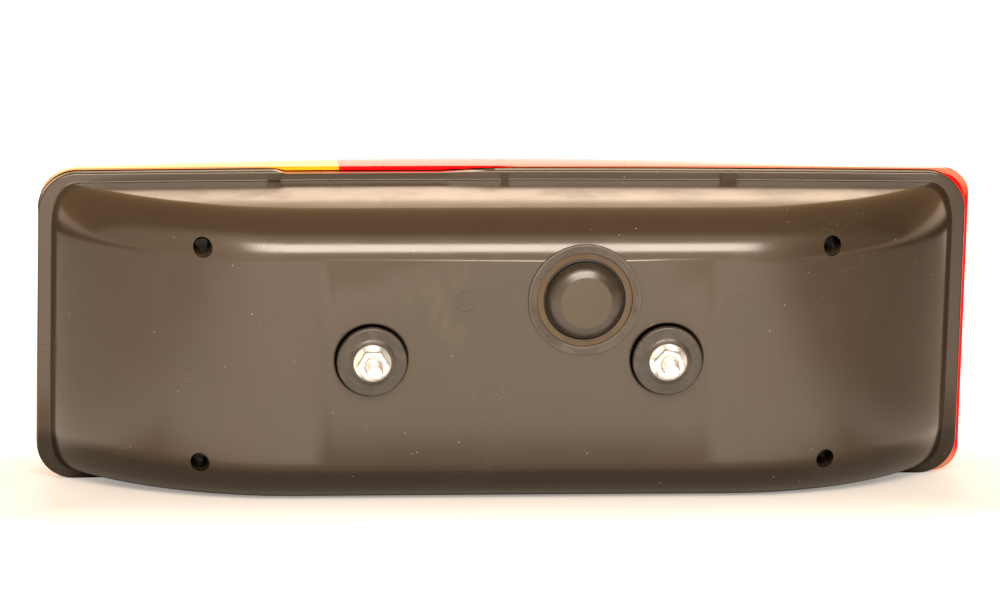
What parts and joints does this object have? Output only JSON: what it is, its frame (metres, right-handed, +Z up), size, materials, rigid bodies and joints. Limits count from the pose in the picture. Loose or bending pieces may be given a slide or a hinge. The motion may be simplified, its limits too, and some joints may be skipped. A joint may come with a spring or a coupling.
{
  "type": "rear combination lamp",
  "caption": "Rear combination lamp with amber and red lens sections in front, a deep black housing, and mounting studs and a blanked cable entry at its back.",
  "frame": {"origin": "midway between the two mounting studs, in the plane of the pad faces that meet the vehicle", "axes": "+X along the lamp from its outer amber end to its inner red end, +Y out through the lens, away from the vehicle, +Z up"},
  "size_m": [0.4888, 0.1402, 0.1647],
  "materials": {
    "housing_black": "semi-gloss black moulding with a slight warm cast",
    "lens_amber": "transparent amber acrylic",
    "lens_red": "transparent red acrylic",
    "lens_clear": "clear acrylic",
    "lens_reflex": "red prismatic reflex acrylic",
    "gasket_rubber": "soft black foam rubber",
    "zinc_screws": "zinc-plated steel",
    "zinc_steel": "zinc-plated steel",
    "zinc_nut": "bright zinc-plated steel",
    "pad_rubber": "moulded black rubber",
    "seal_rubber": "dusty grey rubber",
    "plug_black": "satin black moulding",
    "metallised": "metallised plastic",
    "holder_white": "heat-resistant off-white moulding",
    "glass_amber": "amber-lacquered glass",
    "glass_clear": "clear glass",
    "block_black": "black moulding",
    "brass_strip": "bare brass strip"
  },
  "bodies": {
    "root": {"housing": "housing_black", "amber_lens": "lens_amber", "red_lens": "lens_red", "reversing_window": "lens_clear", "reflex_reflector": "lens_reflex", "lens_gasket": "gasket_rubber", "lens_screws": "zinc_screws", "left_stud": "zinc_steel", "right_stud": "zinc_steel", "left_pad": "pad_rubber", "right_pad": "pad_rubber", "left_nut": "zinc_nut", "right_nut": "zinc_nut", "entry_seal": "seal_rubber", "blanking_plug": "plug_black", "reflector": "metallised", "reflector_screws": "zinc_screws", "indicator_holder": "holder_white", "tail_stop_holder": "holder_white", "reversing_holder": "holder_white", "fog_holder": "holder_white", "indicator_bulb": "glass_amber", "tail_stop_bulb": "glass_clear", "reversing_bulb": "glass_clear", "fog_bulb": "glass_clear", "terminal_block": "block_black", "ground_strip": "brass_strip", "indicator_strip": "brass_strip", "tail_stop_strip": "brass_strip", "reversing_strip": "brass_strip", "fog_strip": "brass_strip"}
  },
  "joints": []
}
